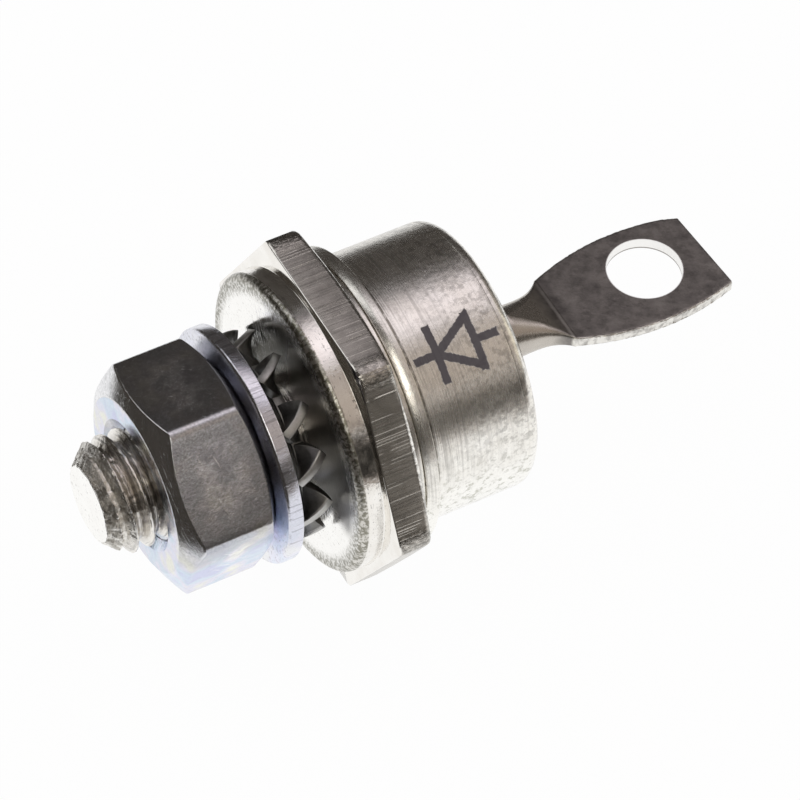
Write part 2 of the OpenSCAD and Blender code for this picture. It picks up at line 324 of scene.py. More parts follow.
# %% [markdown]
# ## The terminal's sections
# The terminal is a tube whose end was pressed flat. A Lattice could squeeze a tube, but a row of
# sections follows the press better: the thickness falls evenly, the width spreads late, and a
# crease is left where the blade begins. The end is cut at a slant and the sheared sides are ragged.

# %% Terminal sections
TUBE_START, PRESS_START, BLADE_ROOT, BLADE_END = 8.75, 12.87, 15.77, 24.97
BLADE_T, BLADE_W, BOW_R, WIDEST = 0.7, 6.4, 13.5, 20.87
TUBE_ROWS, PRESS_ROWS, BLADE_ROWS = 8, 25, 72
SPREAD_POWER = 4
CORNER_ARC = np.radians(np.linspace(0, 90, 7))
FLAT_COLUMNS = np.array([0.97, 0.9, 0.6, 0.2, -0.2, -0.6, -0.9, -0.97])
BLADE_ROUND, CREASE, CREASE_WIDTH, TINY = 0.12, 0.035, 0.09, 0.001
END_SLANT, END_STRETCH = 0.067, 1.2
RAGGED_EDGE, RAGGED_SEED = 0.03, 5


def bowed_half(x):
    """Half width of the bowed blade at x."""
    return BLADE_W / 2 - BOW_R + math.sqrt(BOW_R ** 2 - (x - WIDEST) ** 2)


def flat_ring(x, half_w, half_t, rounding):
    """Flat section with rounded corners, and columns across its flats above and below."""
    reach = np.stack([np.cos(CORNER_ARC), np.sin(CORNER_ARC)], axis=-1) * rounding
    corner = np.array([half_w - rounding, half_t - rounding]) + reach
    lower = corner[::-1] * [1, -1]
    top = np.stack([(half_w - rounding) * FLAT_COLUMNS, np.full(FLAT_COLUMNS.size, half_t)], axis=-1)
    half = np.concatenate([lower, corner, top])
    ring = np.concatenate([half, -half])
    return np.column_stack([np.full(len(ring), x), ring])


def pressed_rows():
    """Sections from the tube's closed end to the blade's."""
    tube = TUBE_R - TINY / 2
    sizes = [(TUBE_START, TINY, TINY, TINY / 2)]
    sizes += [(x, TUBE_R, TUBE_R, tube) for x in np.linspace(TUBE_START, PRESS_START, TUBE_ROWS)]
    spread = bowed_half(BLADE_ROOT) - TUBE_R
    for share in np.linspace(0, 1, PRESS_ROWS)[1:-1]:
        x = PRESS_START + share * (BLADE_ROOT - PRESS_START)
        half_t = TUBE_R + (BLADE_T / 2 - TUBE_R) * share
        half_w = max(TUBE_R + spread * share ** SPREAD_POWER, half_t + TINY)
        sizes.append((x, half_w, half_t, tube + (BLADE_ROUND - tube) * share))
    sizes.append((BLADE_ROOT, bowed_half(BLADE_ROOT), BLADE_T / 2 + CREASE, BLADE_ROUND))
    blade = np.linspace(BLADE_ROOT + CREASE_WIDTH, BLADE_END, BLADE_ROWS)
    sizes += [(x, bowed_half(x), BLADE_T / 2, BLADE_ROUND) for x in blade]
    sizes.append((BLADE_END, TINY, TINY, TINY / 2))
    return np.array([flat_ring(*size) for size in sizes])


def worked_rows():
    """The same sections with a slanted end cut and ragged sheared sides."""
    rows = pressed_rows()
    x, y, z = (rows[..., k] for k in range(3))
    share = np.clip((x - BLADE_END) / END_STRETCH + 1, 0, 1)
    rows[..., 0] -= share * END_SLANT * (y + bowed_half(BLADE_END))
    ragged = np.random.default_rng(RAGGED_SEED).normal(0, RAGGED_EDGE, x.shape)
    on_side = (x > BLADE_ROOT + 0.4) & (np.abs(z) < BLADE_T / 2 - 0.01) & (np.abs(y) > 1)
    rows[..., 1] -= np.where(on_side, np.sign(y) * np.abs(ragged), 0)
    rows[..., 2] += TUBE_RISE
    return rows


sections = worked_rows()
print("terminal sections:", len(sections), "of", sections.shape[1], "points")

# %% [markdown]
# ## The terminal's hole
# The blade was pierced with a round punch. The hole could be part of the skin, but then every
# section would bend round it, so a boolean cuts it and a narrow bevel breaks the sheared edges.

# %% Terminal
HOLE_X, HOLE_Y, HOLE_R = 21.32, 0.28, 2.02
PUNCH_HALF, PUNCH_STEPS = 3, 96
BREAK, BREAK_ANGLE = 0.05, math.radians(50)
CREASE_ANGLE = math.radians(17)


def bake_modifiers(obj):
    """Turns an object's modifiers into its mesh."""
    depsgraph = bpy.context.evaluated_depsgraph_get()
    mesh = bpy.data.meshes.new_from_object(obj.evaluated_get(depsgraph))
    obj.modifiers.clear()
    old = obj.data
    obj.data = mesh
    bpy.data.meshes.remove(old)


def break_edges(obj, width, sharp=SHARP_ANGLE):
    """Narrow bevel on every hard edge, baked with the modifiers before it."""
    edge = obj.modifiers.new("broken_edges", "BEVEL")
    edge.width = width * MM
    edge.segments = 2
    edge.limit_method = "ANGLE"
    edge.angle_limit = BREAK_ANGLE
    bake_modifiers(obj)
    soften(obj.data, sharp)


def pierced_terminal():
    tag = skin("terminal_tag", sections, closed=False)
    theta = full_turn(PUNCH_STEPS)
    rows = []
    for z, r in ((-PUNCH_HALF, 0), (-PUNCH_HALF, HOLE_R), (PUNCH_HALF, HOLE_R), (PUNCH_HALF, 0)):
        x, y = HOLE_X + r * np.cos(theta), HOLE_Y + r * np.sin(theta)
        rows.append(np.column_stack([x, y, np.full(theta.size, z)]))
    punch = skin("punch", rows, closed=False)
    cut = tag.modifiers.new("hole", "BOOLEAN")
    cut.operation = "DIFFERENCE"
    cut.solver = "EXACT"
    cut.object = punch
    break_edges(tag, BREAK, CREASE_ANGLE)
    bpy.data.objects.remove(punch)
    return tag


terminal = place(pierced_terminal(), "diode", "terminal")

# %% [markdown]
# ## The nut
# A nut is a hexagon bar, bevelled at both faces in a lathe and tapped. The bevel is a cone, so it
# meets each flat in a curve. A boolean could cut it, but rings keep its edge soft. The bore carries
# the stud's thread, kept a hair clear of it, so the two stay meshed while the nut turns.

# %% Nut
PITCH = 0.907
STUD_R, THREAD_DEPTH = 3.1, 0.55
CREST_FLAT, ROOT_FLAT = 0.125, 0.25
THREAD_GAP, THREAD_ROWS = 0.05, 96
NUT_ACROSS, NUT_ROUND, NUT_CORNER = 11.0, 0.6, -10.8
NUT_START, NUT_END = (v.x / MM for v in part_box("hex_nut"))
NUT_FACE_R, NUT_MOUTH_R, NUT_BORE_R = 9.5 / 2, 7.2 / 2, 2.72
NUT_BEVEL = math.tan(math.radians(28))
NUT_EDGE = ((0, 0.035), (0.04, 0.008), (0.11, 0))


def flank(turn):
    """Height of a thread's flank at a fraction of a turn, before root and crest cut it to 0 and 1."""
    return (1 - abs(2 * turn - 1) - ROOT_FLAT) / (1 - ROOT_FLAT - CREST_FLAT)


def nut_bore_rows(theta):
    """Rings of the tapped bore, from the rear face to the front one."""
    rows = []
    for x in np.linspace(NUT_END, NUT_START, THREAD_ROWS):
        height = np.clip(flank((x / PITCH - theta / (2 * math.pi)) % 1), 0, 1)
        ridge = STUD_R - THREAD_DEPTH + THREAD_DEPTH * height + THREAD_GAP
        mouth = NUT_MOUTH_R - min(x - NUT_START, NUT_END - x)
        rows.append(polar(x, np.maximum(ridge, max(NUT_BORE_R, mouth)), theta))
    return rows


def nut_body():
    theta, hexagon = hexagon_ring(NUT_ACROSS, NUT_ROUND, NUT_CORNER)
    drop = (hexagon - NUT_FACE_R) * NUT_BEVEL
    half = [(0, NUT_MOUTH_R + 0.1), (0, NUT_FACE_R - 0.06), (0.012, NUT_FACE_R)]
    half += [(step * NUT_BEVEL, NUT_FACE_R + step) for step in (0.06, 0.1)]
    half += [(drop - inset * NUT_BEVEL, hexagon - inset) for inset in (0.16, 0.1)]
    half += [(drop + step, hexagon - inset) for step, inset in NUT_EDGE]
    rows = [polar(NUT_START + x, r, theta) for x, r in half]
    rows += [polar(NUT_END - x, r, theta) for x, r in reversed(half)]
    return skin("nut_body", rows + nut_bore_rows(theta), closed=True)


nut = place(nut_body(), "nut", "hex_nut")

# %% [markdown]
# ## The flat washer
# A punch leaves one edge of a washer rounded and the other sharp. A cylinder with a hole would have
# two sharp ones, so an outline with both kinds is turned round the axis.

# %% Flat washer
WASHER_START, WASHER_END = (v.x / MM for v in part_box("flat_washer"))
WASHER_R, WASHER_BORE_R = 6.4, 3.25
WASHER_ROUND, WASHER_SHARP, WASHER_MOUTH = 0.2, 0.05, 0.08
outline = [(WASHER_START, WASHER_BORE_R + WASHER_MOUTH)]
outline += arc(WASHER_START + WASHER_ROUND, WASHER_R - WASHER_ROUND, WASHER_ROUND, 180, 90, 8)
outline += arc(WASHER_END - WASHER_SHARP, WASHER_R - WASHER_SHARP, WASHER_SHARP, 90, 0, 3)
outline += [(WASHER_END, WASHER_BORE_R), (WASHER_START + WASHER_MOUTH, WASHER_BORE_R)]
washer = place(turned("plain_washer", outline), "washer", "flat_washer")

# %% [markdown]
# ## Graphs that read like sums
# Geometry Nodes and shaders are graphs of small nodes. They could be wired one by one, but sums are
# easier to read: one class wraps an output socket, so that Python's own signs add the Math nodes,
# and the other holds the tree and makes any other node.

# %% Node graphs
def sum_method(operation, swapped=False):
    """Method of a socket that adds one Math node."""
    def method(self, *others):
        values = (*others, self) if swapped else (self, *others)
        return self.graph.node("ShaderNodeMath", dict(enumerate(values)), operation=operation)
    return method


class Sock:
    """An output socket that can be added, multiplied and compared like a number."""

    def __init__(self, graph, socket):
        self.graph = graph
        self.socket = socket

    __add__ = __radd__ = sum_method("ADD")
    __sub__ = sum_method("SUBTRACT")
    __rsub__ = sum_method("SUBTRACT", swapped=True)
    __mul__ = __rmul__ = sum_method("MULTIPLY")
    __truediv__ = sum_method("DIVIDE")
    __pow__ = sum_method("POWER")
    __abs__ = sum_method("ABSOLUTE")
    least = sum_method("MINIMUM")
    most = sum_method("MAXIMUM")
    under = sum_method("LESS_THAN")
    fraction = sum_method("FRACT")
    cosine = sum_method("COSINE")
    sine = sum_method("SINE")
    arctan2 = sum_method("ARCTAN2")

    def smooth(self, low, high):
        """0 below low, 1 above high, with a smooth step between."""
        inputs = {"Value": self, "From Min": low, "From Max": high}
        return self.graph.node("ShaderNodeMapRange", inputs, interpolation_type="SMOOTHSTEP")

    def between(self, low, high, soft):
        """1 between low and high, with soft ends."""
        return self.smooth(low - soft, low + soft) * (1 - self.smooth(high - soft, high + soft))


class Graph:
    """A node tree under construction."""

    def __init__(self, tree):
        self.tree = tree

    def node(self, kind, inputs=None, out=0, **settings):
        """New node of a kind: its settings first, then its inputs. Gives one of its outputs."""
        node = self.tree.nodes.new(kind)
        for key, value in settings.items():
            setattr(node, key, value)
        for key, value in (inputs or {}).items():
            if isinstance(value, Sock):
                self.tree.links.new(value.socket, node.inputs[key])
            else:
                node.inputs[key].default_value = value
        return Sock(self, node.outputs[out] if node.outputs else None)

    def parts(self, vector):
        """The x, y and z of a vector."""
        node = self.node("ShaderNodeSeparateXYZ", {0: vector}).socket.node
        return [Sock(self, output) for output in node.outputs]

    def vector(self, x, y=0.0, z=0.0):
        return self.node("ShaderNodeCombineXYZ", {0: x, 1: y, 2: z})

    def ramp(self, value, stops):
        """Colour between stops of (place, colour)."""
        ramp = self.node("ShaderNodeValToRGB", {"Fac": value})
        elements = ramp.socket.node.color_ramp.elements
        for place_at, colour in stops[1:-1]:
            elements.new(place_at).color = (*colour, 1.0)
        for end in (0, -1):
            elements[end].position = stops[end][0]
            elements[end].color = (*stops[end][1], 1.0)
        return ramp


print("a socket knows:", ", ".join(name for name in vars(Sock) if not name.startswith("_")))

# %% [markdown]
# ## Geometry trees
# The stud's thread and the lock washer's teeth repeat a form by a rule, which is what Geometry
# Nodes are for. A tree here has a named input for each size, a modifier fills them in, and the
# result is kept as a plain mesh. Both trees roll up a flat grid.

# %% Geometry trees
SOCKETS = {float: "NodeSocketFloat", int: "NodeSocketInt", bpy.types.Material: "NodeSocketMaterial"}


def new_geometry(name, values):
    """Geometry tree with a named input for each value. Gives its graph and its inputs as sockets."""
    tree = bpy.data.node_groups.new(name, "GeometryNodeTree")
    tree.interface.new_socket("Geometry", in_out="OUTPUT", socket_type="NodeSocketGeometry")
    for key, value in values.items():
        tree.interface.new_socket(key, in_out="INPUT", socket_type=SOCKETS[type(value)])
    graph = Graph(tree)
    group = tree.nodes.new("NodeGroupInput")
    return graph, [Sock(graph, group.outputs[key]) for key in values]


def unit_grid(graph, rows, columns):
    """Flat grid, and how far each of its points lies along it and across it, from 0 to 1."""
    grid = graph.node("GeometryNodeMeshGrid", {
        "Size X": 1.0, "Size Y": 1.0, "Vertices X": rows, "Vertices Y": columns,
    })
    along, across, _ = graph.parts(graph.node("GeometryNodeInputPosition"))
    return grid, along + 0.5, across + 0.5


def rolled(graph, grid, x, radius, theta):
    """Grid rolled up round the X axis, with its seam welded."""
    spot = graph.vector(x, radius * theta.cosine(), radius * theta.sine())
    moved = graph.node("GeometryNodeSetPosition", {"Geometry": grid, "Position": spot})
    return graph.node("GeometryNodeMergeByDistance", {"Geometry": moved, "Distance": WELD})


def close_geometry(graph, geometry, material):
    """Ends a tree in Realize Instances and Set Material."""
    real = graph.node("GeometryNodeRealizeInstances", {"Geometry": geometry})
    dressed = graph.node("GeometryNodeSetMaterial", {"Geometry": real, "Material": material})
    graph.node("NodeGroupOutput", {0: dressed})


def run_geometry(name, tree, values):
    """Object with the tree's result as a plain mesh, with flat caps on open ends."""
    obj = new_object(name, bpy.data.meshes.new(name))
    modifier = obj.modifiers.new(name, "NODES")
    modifier.node_group = tree
    for item in tree.interface.items_tree:
        if item.in_out == "INPUT":
            modifier[item.identifier] = values[item.name]
    obj.update_tag()
    bake_modifiers(obj)
    tidy_mesh(obj.data, fill=True)
    return obj


print("kinds of input:", ", ".join(SOCKETS.values()))

# %% [markdown]
# ## The threaded stud
# On a thread, the radius depends on how far a point lies from a helix. A Screw modifier could wind
# one tooth, but its ends would stay open. So a grid is rolled into a tube whose radius follows the
# rule, noise makes the first turns ragged as on a plated thread, a cone cuts the tip, and the two
# open ends are filled.

# %% Stud
STUD_END, STUD_TAIL, STUD_BEVEL = -11.2, 0.4, 1.05
STUD_STEPS, STUD_ROWS = 160, 330
RAGGED, RAGGED_FULL, RAGGED_NONE = 0.28, 0.6, 2.2
RUNOUT, RUNOUT_HEIGHT = (-1.2 * MM, -0.7 * MM), 0.45


def thread_tree(values):
    graph, given = new_geometry("thread", values)
    start, end, crest, depth, pitch, bevel, ragged, seed, rows, steps, material = given
    grid, along, around = unit_grid(graph, rows, steps + 1)
    theta = around * (2 * math.pi)
    x = start + along * (end - start)
    height = flank((x / pitch - around).fraction()).most(0).least(1)
    runout = x.smooth(*RUNOUT)
    height = height * (1 - runout) + RUNOUT_HEIGHT * runout
    spot = graph.vector(x / MM, theta.cosine() * STUD_R, theta.sine() * STUD_R)
    inputs = {"Vector": spot, "W": seed, "Scale": 3.2, "Detail": 3.0}
    fine = graph.node("ShaderNodeTexNoise", inputs, noise_dimensions="4D")
    first_turns = 1 - x.smooth(start + RAGGED_FULL * MM, start + RAGGED_NONE * MM)
    rough = (fine - 0.5) * ragged * (0.3 + first_turns)
    thread = crest - depth * (1 - height) + rough
    cone = crest - bevel + (x - start) + rough
    radius = thread.least(cone).least(crest)
    close_geometry(graph, rolled(graph, grid, x, radius, theta), material)
    return graph.tree


stud_sizes = {
    "Start": STUD_END * MM, "End": STUD_TAIL * MM, "Crest Radius": STUD_R * MM,
    "Depth": THREAD_DEPTH * MM, "Pitch": PITCH * MM, "Bevel": STUD_BEVEL * MM, "Ragged": RAGGED * MM,
    "Seed": 4.0, "Rows": STUD_ROWS, "Steps": STUD_STEPS, "Material": bpy.data.materials.new("nickel_base"),
}
stud = run_geometry("threaded_stud", thread_tree(stud_sizes), stud_sizes)
place(stud, "diode", "stud_base")

# %% [markdown]
# ## Ring and tooth of the lock washer
# A lock washer's tooth is a short strip that leaves the ring, bends a little and twists about its
# own radius, so that one corner bites the base and the other the flat washer. It could be shaped by
# hand, but a box of small cells that the tree bends and twists keeps size and twist as inputs.

# %% Ring and tooth
RING_STEPS = 96
TOOTH_TAPER = 0.2


def lock_ring(graph, middle, bore, ring_radius, thickness):
    """Flat ring: a grid of five rows that is folded into a square section and rolled up."""
    grid, along, around = unit_grid(graph, 5, RING_STEPS + 1)
    row = along * 4
    theta = around * (2 * math.pi)
    outer = abs(row - 1.5).under(1.0)
    upper = abs(row - 2.5).under(1.0)
    radius = bore + outer * (ring_radius - bore)
    return rolled(graph, grid, middle + thickness * (upper - 0.5), radius, theta)


def twisted_tooth(graph, middle, tip_radius, root, thickness, width, twist, bend):
    """One tooth along +Y that twists about its own length."""
    cells = graph.node("GeometryNodeMeshCube", {
        "Size": (1, 1, 1), "Vertices X": 13, "Vertices Y": 5, "Vertices Z": 3,
    })
    along, across, through = graph.parts(graph.node("GeometryNodeInputPosition"))
    share = along + 0.5
    bowed = bend * share * (1 - 4 * across * across)
    wide = across * width
    thick = through * thickness * (1 - TOOTH_TAPER * share) + bowed
    angle = share * twist
    tip = (tip_radius * tip_radius - wide * wide) ** 0.5
    x = middle + thick * angle.cosine() - wide * angle.sine()
    y = root + share * (tip - root)
    spot = graph.vector(x, y, wide * angle.cosine() + thick * angle.sine())
    return graph.node("GeometryNodeSetPosition", {"Geometry": cells, "Position": spot})


print("steps round the lock washer's ring:", RING_STEPS)

# %% [markdown]
# ## The toothed lock washer
# Twelve teeth stand round the ring. An Array modifier could copy them, but punched teeth wander a
# little, so the tree turns each copy by a small random angle of its own. The washer is loose and
# hangs on the stud a little below the axis.

# %% Toothed washer
LOCK_MIDDLE, LOCK_HANG = -1.16, 0.1
LOCK_R, LOCK_RING_R, LOCK_BORE_R = 5.6, 4.45, 3.25
LOCK_THICK, LOCK_BREAK = 0.6, 0.06
TOOTH_ROOT, TOOTH_WIDTH, TOOTH_BEND = 4.25, 2.05, 0.12
TOOTH_TWIST, TOOTH_PHASE, TOOTH_WANDER = (math.radians(d) for d in (55, 2, 1.5))
TOOTH_COUNT = 12


def lock_tree(values):
    graph, given = new_geometry("toothed_washer", values)
    middle, bore, ring_radius, tip, root, thickness, width, twist, bend = given[:9]
    phase, wander, teeth, seed, material = given[9:]
    spots = graph.node("GeometryNodeMeshLine", {"Count": teeth, "Offset": (0, 0, 0)})
    index = graph.node("GeometryNodeInputIndex")
    inputs = {2: wander * -1, 3: wander, "ID": index, "Seed": seed}
    stray = graph.node("FunctionNodeRandomValue", inputs, 1, data_type="FLOAT")
    angle = phase + index * (2 * math.pi) / teeth + stray
    tooth = twisted_tooth(graph, middle, tip, root, thickness, width, twist, bend)
    copies = graph.node("GeometryNodeInstanceOnPoints", {
        "Points": spots, "Instance": tooth, "Rotation": graph.vector(angle),
    })
    joined = graph.node("GeometryNodeJoinGeometry", {0: copies})
    ring = lock_ring(graph, middle, bore, ring_radius, thickness)
    graph.tree.links.new(ring.socket, joined.socket.node.inputs[0])
    close_geometry(graph, joined, material)
    return graph.tree


lock_sizes = {
    "Middle": LOCK_MIDDLE * MM, "Bore Radius": LOCK_BORE_R * MM, "Ring Radius": LOCK_RING_R * MM,
    "Tip Radius": LOCK_R * MM, "Tooth Root": TOOTH_ROOT * MM, "Thickness": LOCK_THICK * MM,
    "Tooth Width": TOOTH_WIDTH * MM, "Twist": TOOTH_TWIST, "Bend": TOOTH_BEND * MM, "Phase": TOOTH_PHASE,
    "Wander": TOOTH_WANDER, "Teeth": TOOTH_COUNT, "Seed": 7,
    "Material": bpy.data.materials.new("spring_steel"),
}
toothed = run_geometry("toothed_washer", lock_tree(lock_sizes), lock_sizes)
toothed.data.transform(Matrix.Translation((0, 0, -LOCK_HANG * MM)))
break_edges(toothed, LOCK_BREAK)
place(toothed, "diode", "tooth_washer")

# %% [markdown]
# ## Finishes
# Every finish starts from the object's coordinates in millimetres, noise and a Principled shader.
# Noise stretched round the axis gives turning lines, and stretched along X the drawn lines of a
# bar. Images could be painted, but rules need no unwrapping. Colours go on in coats, as plating,
# wear and dirt do, and bump heights are real millimetres.

# %% Finish helpers
BLACK = (0, 0, 0)


def empty_tree(owner):
    """Cleared node tree of a material or a world."""
    owner.use_nodes = True
    owner.node_tree.nodes.clear()
    return owner.node_tree


class Finish(Graph):
    """A material under construction."""

    def __init__(self, name):
        self.material = bpy.data.materials.get(name) or bpy.data.materials.new(name)
        super().__init__(empty_tree(self.material))
        metres = self.node("ShaderNodeTexCoord", out=3)
        self.mm = self.node("ShaderNodeVectorMath", {0: metres, "Scale": 1 / MM}, operation="SCALE")
        self.x, self.y, self.z = self.parts(self.mm)
        self.radius = (self.y * self.y + self.z * self.z) ** 0.5

    def noise(self, scale, detail=3.0, rough=0.55, vector=None):
        inputs = {"Vector": vector or self.mm, "Scale": scale, "Detail": detail, "Roughness": rough}
        return self.node("ShaderNodeTexNoise", inputs)

    def lines(self, stretch, detail=3.0, rough=0.6, turn=(0, 0, 0)):
        """Noise in coordinates that are turned and then multiplied along each axis."""
        turned_mm = self.node("ShaderNodeMapping", {"Vector": self.mm, "Rotation": turn})
        stretched = self.node("ShaderNodeVectorMath", {0: turned_mm, 1: stretch}, operation="MULTIPLY")
        return self.noise(1.0, detail, rough, stretched)

    def clouded(self, value, dark, light):
        """Base tone between a dark and a light colour."""
        return self.ramp(value, [(0.3, dark), (0.7, light)])

    def mix(self, share, first, second, blend="MIX"):
        inputs = {"Factor": share, 6: first, 7: second}
        return self.node("ShaderNodeMix", inputs, 2, data_type="RGBA", blend_type=blend)

    def coats(self, tone, *layers):
        """Tone under layers of (share, colour), each laid over those before it."""
        for share, colour in layers:
            tone = self.mix(share, tone, (*colour, 1.0))
        return tone

    def shade(self, tone, level):
        """Tone times a level."""
        return self.mix(1.0, tone, level, "MULTIPLY")

    def close(self, tone, rough, height=None, **more):
        """Ends in a Principled shader, of metal unless more says otherwise. The height is in mm."""
        inputs = {"Base Color": tone, "Roughness": rough, "Metallic": 1.0, **more}
        if height:
            relief = {"Height": height, "Strength": 1.0, "Distance": MM}
            inputs["Normal"] = self.node("ShaderNodeBump", relief)
        shader = self.node("ShaderNodeBsdfPrincipled", inputs)
        self.node("ShaderNodeOutputMaterial", {"Surface": shader})
        return self.material


def wear(obj, material):
    """Gives a piece one material."""
    obj.data.materials.clear()
    obj.data.materials.append(material)
    print(obj.name, "wears", material.name, "of", len(material.node_tree.nodes), "nodes")


print("a finish can:", ", ".join(name for name in vars(Finish) if not name.startswith("_")))

# %% [markdown]
# ## Nickel on the base
# Bright nickel covers the copper base, and each zone has its own finish: the collar is nearly a
# mirror, darker on part of its upper near side, the flats keep the bar's drawn lines, the seat gets
# a painted shade with painted dark reflections behind the washers and has a pitted, dirty edge, and
# the thread has darker valleys and a pale tip. Zones could have materials of their own, but seams
# would show, so one material picks the zone from the place, with soft ends.

# %% Nickel base
PALE_NICKEL = (0.97, 0.95, 0.9)


def nickel_base_finish():
    f = Finish("nickel_base")
    grains = f.noise(6.0, 3.0, 0.6)
    specks = f.noise(4.5, 3.0, 0.65)
    cloud = f.noise(0.7)
    patches = f.noise(1.6)
    drawn = f.lines((0.12, 9, 9))
    scratch = f.lines((0.05, 12, 12), 2.0, 0.5).smooth(0.6, 0.66) * cloud.smooth(0.4, 0.55)
    turning = f.lines((9, 0.25, 0.25))
    strokes = f.lines((1, 8, 0.9), 2.0, 0.55, (0.5, 0, 0)).smooth(0.5, 0.68)
    flats = f.x.between(COLLAR_H + 0.08, HEX_TOP - 0.28, 0.06)
    corner = flats * f.radius.smooth(HEX_CORNER - 0.45, HEX_CORNER - 0.2)
    rear_edge = f.x.between(HEX_TOP - 0.34, HEX_TOP, 0.05) * f.radius.smooth(8.1, 8.2)
    seat = f.x.between(-0.03, 0.02, 0.015)
    faces = seat.most(1 - f.x.smooth(STUD_END + 0.01, STUD_END + 0.03))
    behind = (1 - f.y.smooth(-1.0, 3.0)) * f.z.smooth(-1.9, -0.5)
    # painted shade and painted dark reflection of the washers on the seat behind them
    seat_painted_shade = seat * (1 - f.radius.smooth(6.7, 7.5)) * behind
    rim = f.x.between(-0.03, 0.4, 0.04) * f.radius.smooth(6.9, 7.6)
    collar = f.x.between(0.4, COLLAR_H - 0.04, 0.03)
    # darker, mottled patch on the collar's upper near side
    collar_darkened = collar * f.z.between(3.5, 5.9, 0.4) * (1 - f.y.smooth(-3.0, -1.0))
    thread = f.x.between(STUD_END + 0.03, -0.05, 0.015)
    ragged = thread * (1 - f.x.smooth(STUD_END + 0.6, STUD_END + 2.0))
    tip = thread * (1 - f.x.smooth(STUD_END + 0.7, STUD_END + 1.2))
    # the thread's valleys are darker
    valley = thread * (1 - f.radius.smooth(STUD_R - 0.5, STUD_R - 0.1))
    tone = f.coats(
        f.clouded(cloud, (0.84, 0.81, 0.76), (0.95, 0.93, 0.89)),
        (flats * 0.75, (0.58, 0.55, 0.5)),
        (flats * 0.18 * patches.smooth(0.35, 0.7), BLACK),
        (flats * 0.3 * drawn.smooth(0.5, 0.64), BLACK),
        (flats * scratch * 0.8, PALE_NICKEL),
        (thread * 0.1, (0.55, 0.5, 0.43)),
        ((thread - 0.7 * ragged) * 0.5 * turning.smooth(0.5, 0.62), BLACK),
        (valley * 0.35, (0.3, 0.26, 0.22)),
        (ragged * specks.smooth(0.54, 0.64) * 0.4, (0.95, 0.94, 0.9)),
        (tip * 0.8, PALE_NICKEL),
        (faces * 0.7, (1.0, 0.995, 0.97)),
        # painted shade behind the washers
        (seat_painted_shade * 0.8, (0.21, 0.2, 0.185)),
        (rim * (0.3 + 0.7 * specks.smooth(0.42, 0.56)) * 0.9, (0.2, 0.19, 0.145)),
        (faces * specks.smooth(0.6, 0.67) * 0.4, (0.2, 0.19, 0.16)),
        ((corner + rear_edge) * 0.4 * specks.smooth(0.4, 0.55), BLACK),
        (collar * 0.4 * (turning * specks).smooth(0.3, 0.38), BLACK),
        (collar_darkened * (0.3 + 0.4 * patches.smooth(0.4, 0.62)), BLACK),
    )
    rough = (
        0.08 + 0.05 * cloud + flats * (0.12 + 0.08 * drawn) + rim * 0.2 + thread * 0.1
        + seat_painted_shade * 0.2 + collar * 0.05 + tip * (0.12 + 0.4 * patches.smooth(0.42, 0.6))
    )
    height = (
        flats * (drawn * 0.003 + scratch * 0.006) + (corner + rear_edge * 0.6) * specks * 0.04
        + rim * specks * 0.03 + faces * strokes * 0.004 + collar * (specks * 0.009 + turning * 0.002)
        + thread * (turning * 0.03 + grains * 0.012) + ragged * (patches * 0.16 + specks * 0.06)
    )
    return f.close(tone, rough, height)


nickel = nickel_base_finish()
wear(base, nickel)
wear(stud, nickel)

# %% [markdown]
# ## Nickel on the can, and its mark
# Turning lines run round the skimmed part of the can, and the plating is mottled elsewhere. Below,
# its colour is painted brighter as a painted reflection of the white table, with small stains, and
# the wall is darker in a band beside the flange. A diode's symbol in dark ink shows which way it
# conducts. A picture could be laid on, but sums stay sharp at any size: ink is where a point lies
# close to the triangle, the bar or the lead.

# %% Nickel can
MARK_X, MARK_ANGLE = 7.5, math.radians(121)
MARK_LINE, MARK_HALF, MARK_SLOPE = 0.22, 1.35, 0.62


def mark_ink(f):
    """1 on the lines of a diode symbol whose arrow points at the stud."""
    wobble = (f.noise(5.0, 2.0) - 0.5) * 0.16
    u = f.x - MARK_X
    across = abs((f.z.arctan2(f.y) - MARK_ANGLE) * CAN_R)
    end = MARK_HALF * 0.8
    lead = across.most(abs(abs(u) - MARK_HALF * 1.2) - MARK_HALF * 0.4)
    bar = abs(u + end).most(across - MARK_HALF)
    side = (abs(across - (u + end) * MARK_SLOPE) * 0.85).most(abs(u) - end)
    back = abs(u - end).most(across - MARK_HALF)
    line = lead.least(bar).least(side).least(back) + wobble
    return 1 - line.smooth(MARK_LINE - 0.03, MARK_LINE + 0.03)


